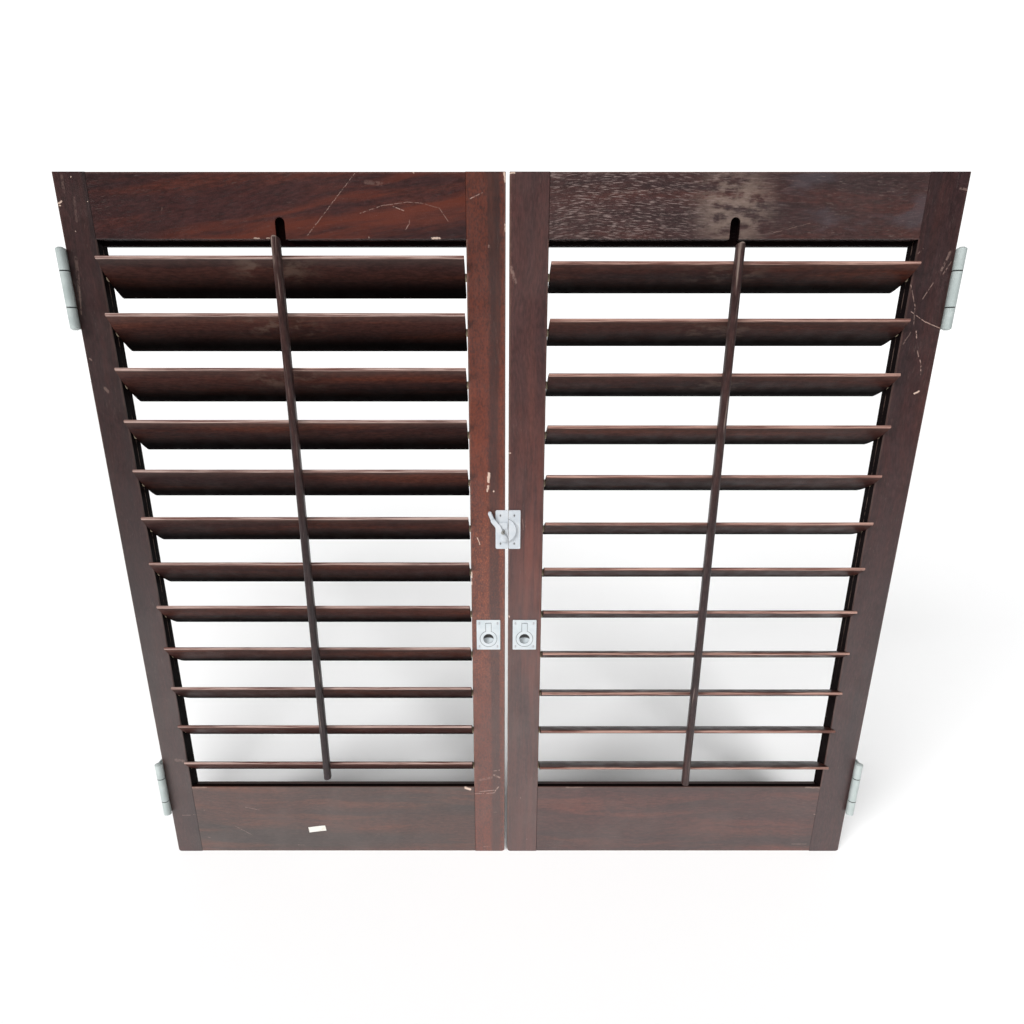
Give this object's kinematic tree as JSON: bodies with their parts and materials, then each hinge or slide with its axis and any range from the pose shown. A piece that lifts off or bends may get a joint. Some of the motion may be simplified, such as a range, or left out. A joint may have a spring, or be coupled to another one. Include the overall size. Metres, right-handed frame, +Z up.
{
  "type": "louvred shutters",
  "caption": "Pair of hinged wooden louvred shutters with tilting slats, front tilt rods, a hook fastener and flush ring pulls.",
  "frame": {"origin": "on the floor line of the pair: below the middle of the whole width, level with the feet of the panels", "axes": "+X to the right seen from the room, +Y away from the room towards the window, +Z up"},
  "size_m": [1.2164, 0.0875, 1.071],
  "materials": {
    "stained_wood": "dark red-brown mahogany stain under worn satin varnish",
    "worn_wood": "dark red-brown stain rubbed through to orange-red and grey wood at the edges",
    "louvre_wood": "dark red-brown stain, with edges worn to a light pinkish brown",
    "hardware_paint": "pale greenish-grey paint, satin, slightly dirty",
    "staple_wire": "dull steel wire"
  },
  "bodies": {
    "frame": {"frame_leaf_left_upper": "hardware_paint", "frame_leaf_left_lower": "hardware_paint", "frame_leaf_right_upper": "hardware_paint", "frame_leaf_right_lower": "hardware_paint", "hinge_pins": "hardware_paint"},
    "left_panel": {"left_hinge_stile": "stained_wood", "left_meeting_stile": "worn_wood", "left_top_rail": "stained_wood", "left_bottom_rail": "stained_wood", "left_dowels": "stained_wood", "left_hinge_leaves": "hardware_paint", "left_leaf_screws": "hardware_paint", "cam_base": "hardware_paint", "cam_rivet": "hardware_paint", "left_small_screws": "hardware_paint", "left_pull_plate": "hardware_paint", "left_pull_pin": "hardware_paint"},
    "right_panel": {"right_hinge_stile": "stained_wood", "right_meeting_stile": "stained_wood", "right_top_rail": "stained_wood", "right_bottom_rail": "stained_wood", "right_dowels": "stained_wood", "right_hinge_leaves": "hardware_paint", "right_leaf_screws": "hardware_paint", "keeper": "hardware_paint", "right_small_screws": "hardware_paint", "right_pull_plate": "hardware_paint", "right_pull_pin": "hardware_paint"},
    "cam": {"cam_hook": "hardware_paint"},
    "left_ring": {"left_pull_ring": "hardware_paint"},
    "right_ring": {"right_pull_ring": "hardware_paint"},
    "left_slat_01": {"left_louvre_01": "louvre_wood"},
    "left_slat_02": {"left_louvre_02": "louvre_wood"},
    "left_slat_03": {"left_louvre_03": "louvre_wood"},
    "left_slat_04": {"left_louvre_04": "louvre_wood"},
    "left_slat_05": {"left_louvre_05": "louvre_wood"},
    "left_slat_06": {"left_louvre_06": "louvre_wood"},
    "left_slat_07": {"left_louvre_07": "louvre_wood"},
    "left_slat_08": {"left_louvre_08": "louvre_wood"},
    "left_slat_09": {"left_louvre_09": "louvre_wood"},
    "left_slat_10": {"left_louvre_10": "louvre_wood"},
    "left_slat_11": {"left_louvre_11": "louvre_wood"},
    "left_slat_12": {"left_louvre_12": "louvre_wood"},
    "left_rod": {"left_tilt_rod": "stained_wood", "left_rod_staples": "staple_wire"},
    "right_slat_01": {"right_louvre_01": "louvre_wood"},
    "right_slat_02": {"right_louvre_02": "louvre_wood"},
    "right_slat_03": {"right_louvre_03": "louvre_wood"},
    "right_slat_04": {"right_louvre_04": "louvre_wood"},
    "right_slat_05": {"right_louvre_05": "louvre_wood"},
    "right_slat_06": {"right_louvre_06": "louvre_wood"},
    "right_slat_07": {"right_louvre_07": "louvre_wood"},
    "right_slat_08": {"right_louvre_08": "louvre_wood"},
    "right_slat_09": {"right_louvre_09": "louvre_wood"},
    "right_slat_10": {"right_louvre_10": "louvre_wood"},
    "right_slat_11": {"right_louvre_11": "louvre_wood"},
    "right_slat_12": {"right_louvre_12": "louvre_wood"},
    "right_rod": {"right_tilt_rod": "stained_wood", "right_rod_staples": "staple_wire"}
  },
  "joints": [
    {"name": "left_panel_swing", "type": "hinge", "parent": "frame", "child": "left_panel", "pos_m": [-0.602, -0.01125, 0.5], "axis": [0, 0, -1], "range_deg": [0, 170]},
    {"name": "right_panel_swing", "type": "hinge", "parent": "frame", "child": "right_panel", "pos_m": [0.602, -0.01125, 0.5], "axis": [0, 0, 1], "range_deg": [0, 170]},
    {"name": "cam_turn", "type": "hinge", "parent": "left_panel", "child": "cam", "pos_m": [-0.00935, -0.0085, 0.583], "axis": [0, 1, 0], "range_deg": [-60, 25]},
    {"name": "left_ring_lift", "type": "hinge", "parent": "left_panel", "child": "left_ring", "pos_m": [-0.03375, -0.00445, 0.4412], "axis": [-1, 0, 0], "range_deg": [0, 90]},
    {"name": "right_ring_lift", "type": "hinge", "parent": "right_panel", "child": "right_ring", "pos_m": [0.02425, -0.00445, 0.4412], "axis": [-1, 0, 0], "range_deg": [0, 90]},
    {"name": "left_tilt_01", "type": "hinge", "parent": "left_panel", "child": "left_slat_01", "pos_m": [-0.30775, 0.00925, 0.94675], "axis": [1, 0, 0], "range_deg": [-42, 103]},
    {"name": "left_tilt_02", "type": "hinge", "parent": "left_panel", "child": "left_slat_02", "pos_m": [-0.30775, 0.00925, 0.87625], "axis": [1, 0, 0], "range_deg": [-42, 103]},
    {"name": "left_tilt_03", "type": "hinge", "parent": "left_panel", "child": "left_slat_03", "pos_m": [-0.30775, 0.00925, 0.80575], "axis": [1, 0, 0], "range_deg": [-42, 103]},
    {"name": "left_tilt_04", "type": "hinge", "parent": "left_panel", "child": "left_slat_04", "pos_m": [-0.30775, 0.00925, 0.73525], "axis": [1, 0, 0], "range_deg": [-42, 103]},
    {"name": "left_tilt_05", "type": "hinge", "parent": "left_panel", "child": "left_slat_05", "pos_m": [-0.30775, 0.00925, 0.66475], "axis": [1, 0, 0], "range_deg": [-42, 103]},
    {"name": "left_tilt_06", "type": "hinge", "parent": "left_panel", "child": "left_slat_06", "pos_m": [-0.30775, 0.00925, 0.59425], "axis": [1, 0, 0], "range_deg": [-42, 103]},
    {"name": "left_tilt_07", "type": "hinge", "parent": "left_panel", "child": "left_slat_07", "pos_m": [-0.30775, 0.00925, 0.52375], "axis": [1, 0, 0], "range_deg": [-42, 103]},
    {"name": "left_tilt_08", "type": "hinge", "parent": "left_panel", "child": "left_slat_08", "pos_m": [-0.30775, 0.00925, 0.45325], "axis": [1, 0, 0], "range_deg": [-42, 103]},
    {"name": "left_tilt_09", "type": "hinge", "parent": "left_panel", "child": "left_slat_09", "pos_m": [-0.30775, 0.00925, 0.38275], "axis": [1, 0, 0], "range_deg": [-42, 103]},
    {"name": "left_tilt_10", "type": "hinge", "parent": "left_panel", "child": "left_slat_10", "pos_m": [-0.30775, 0.00925, 0.31225], "axis": [1, 0, 0], "range_deg": [-42, 103]},
    {"name": "left_tilt_11", "type": "hinge", "parent": "left_panel", "child": "left_slat_11", "pos_m": [-0.30775, 0.00925, 0.24175], "axis": [1, 0, 0], "range_deg": [-42, 103]},
    {"name": "left_tilt_12", "type": "hinge", "parent": "left_panel", "child": "left_slat_12", "pos_m": [-0.30775, 0.00925, 0.17125], "axis": [1, 0, 0], "range_deg": [-42, 103]},
    {"name": "left_rod_stays_upright", "type": "hinge", "parent": "left_slat_06", "child": "left_rod", "pos_m": [-0.30775, -0.02345, 0.6198], "axis": [1, 0, 0], "range_deg": [-103, 42]},
    {"name": "right_tilt_01", "type": "hinge", "parent": "right_panel", "child": "right_slat_01", "pos_m": [0.29825, 0.00925, 0.94675], "axis": [1, 0, 0], "range_deg": [-55.5, 89.5]},
    {"name": "right_tilt_02", "type": "hinge", "parent": "right_panel", "child": "right_slat_02", "pos_m": [0.29825, 0.00925, 0.87625], "axis": [1, 0, 0], "range_deg": [-55.5, 89.5]},
    {"name": "right_tilt_03", "type": "hinge", "parent": "right_panel", "child": "right_slat_03", "pos_m": [0.29825, 0.00925, 0.80575], "axis": [1, 0, 0], "range_deg": [-55.5, 89.5]},
    {"name": "right_tilt_04", "type": "hinge", "parent": "right_panel", "child": "right_slat_04", "pos_m": [0.29825, 0.00925, 0.73525], "axis": [1, 0, 0], "range_deg": [-55.5, 89.5]},
    {"name": "right_tilt_05", "type": "hinge", "parent": "right_panel", "child": "right_slat_05", "pos_m": [0.29825, 0.00925, 0.66475], "axis": [1, 0, 0], "range_deg": [-55.5, 89.5]},
    {"name": "right_tilt_06", "type": "hinge", "parent": "right_panel", "child": "right_slat_06", "pos_m": [0.29825, 0.00925, 0.59425], "axis": [1, 0, 0], "range_deg": [-55.5, 89.5]},
    {"name": "right_tilt_07", "type": "hinge", "parent": "right_panel", "child": "right_slat_07", "pos_m": [0.29825, 0.00925, 0.52375], "axis": [1, 0, 0], "range_deg": [-55.5, 89.5]},
    {"name": "right_tilt_08", "type": "hinge", "parent": "right_panel", "child": "right_slat_08", "pos_m": [0.29825, 0.00925, 0.45325], "axis": [1, 0, 0], "range_deg": [-55.5, 89.5]},
    {"name": "right_tilt_09", "type": "hinge", "parent": "right_panel", "child": "right_slat_09", "pos_m": [0.29825, 0.00925, 0.38275], "axis": [1, 0, 0], "range_deg": [-55.5, 89.5]},
    {"name": "right_tilt_10", "type": "hinge", "parent": "right_panel", "child": "right_slat_10", "pos_m": [0.29825, 0.00925, 0.31225], "axis": [1, 0, 0], "range_deg": [-55.5, 89.5]},
    {"name": "right_tilt_11", "type": "hinge", "parent": "right_panel", "child": "right_slat_11", "pos_m": [0.29825, 0.00925, 0.24175], "axis": [1, 0, 0], "range_deg": [-55.5, 89.5]},
    {"name": "right_tilt_12", "type": "hinge", "parent": "right_panel", "child": "right_slat_12", "pos_m": [0.29825, 0.00925, 0.17125], "axis": [1, 0, 0], "range_deg": [-55.5, 89.5]},
    {"name": "right_rod_stays_upright", "type": "hinge", "parent": "right_slat_06", "child": "right_rod", "pos_m": [0.29825, -0.02851, 0.61146], "axis": [1, 0, 0], "range_deg": [-89.5, 55.5]}
  ],
  "couplings": [
    {"joint": "left_tilt_01", "follows": "left_tilt_06", "ratio": 1},
    {"joint": "left_tilt_02", "follows": "left_tilt_06", "ratio": 1},
    {"joint": "left_tilt_03", "follows": "left_tilt_06", "ratio": 1},
    {"joint": "left_tilt_04", "follows": "left_tilt_06", "ratio": 1},
    {"joint": "left_tilt_05", "follows": "left_tilt_06", "ratio": 1},
    {"joint": "left_tilt_07", "follows": "left_tilt_06", "ratio": 1},
    {"joint": "left_tilt_08", "follows": "left_tilt_06", "ratio": 1},
    {"joint": "left_tilt_09", "follows": "left_tilt_06", "ratio": 1},
    {"joint": "left_tilt_10", "follows": "left_tilt_06", "ratio": 1},
    {"joint": "left_tilt_11", "follows": "left_tilt_06", "ratio": 1},
    {"joint": "left_tilt_12", "follows": "left_tilt_06", "ratio": 1},
    {"joint": "left_rod_stays_upright", "follows": "left_tilt_06", "ratio": -1},
    {"joint": "right_tilt_01", "follows": "right_tilt_06", "ratio": 1},
    {"joint": "right_tilt_02", "follows": "right_tilt_06", "ratio": 1},
    {"joint": "right_tilt_03", "follows": "right_tilt_06", "ratio": 1},
    {"joint": "right_tilt_04", "follows": "right_tilt_06", "ratio": 1},
    {"joint": "right_tilt_05", "follows": "right_tilt_06", "ratio": 1},
    {"joint": "right_tilt_07", "follows": "right_tilt_06", "ratio": 1},
    {"joint": "right_tilt_08", "follows": "right_tilt_06", "ratio": 1},
    {"joint": "right_tilt_09", "follows": "right_tilt_06", "ratio": 1},
    {"joint": "right_tilt_10", "follows": "right_tilt_06", "ratio": 1},
    {"joint": "right_tilt_11", "follows": "right_tilt_06", "ratio": 1},
    {"joint": "right_tilt_12", "follows": "right_tilt_06", "ratio": 1},
    {"joint": "right_rod_stays_upright", "follows": "right_tilt_06", "ratio": -1}
  ]
}
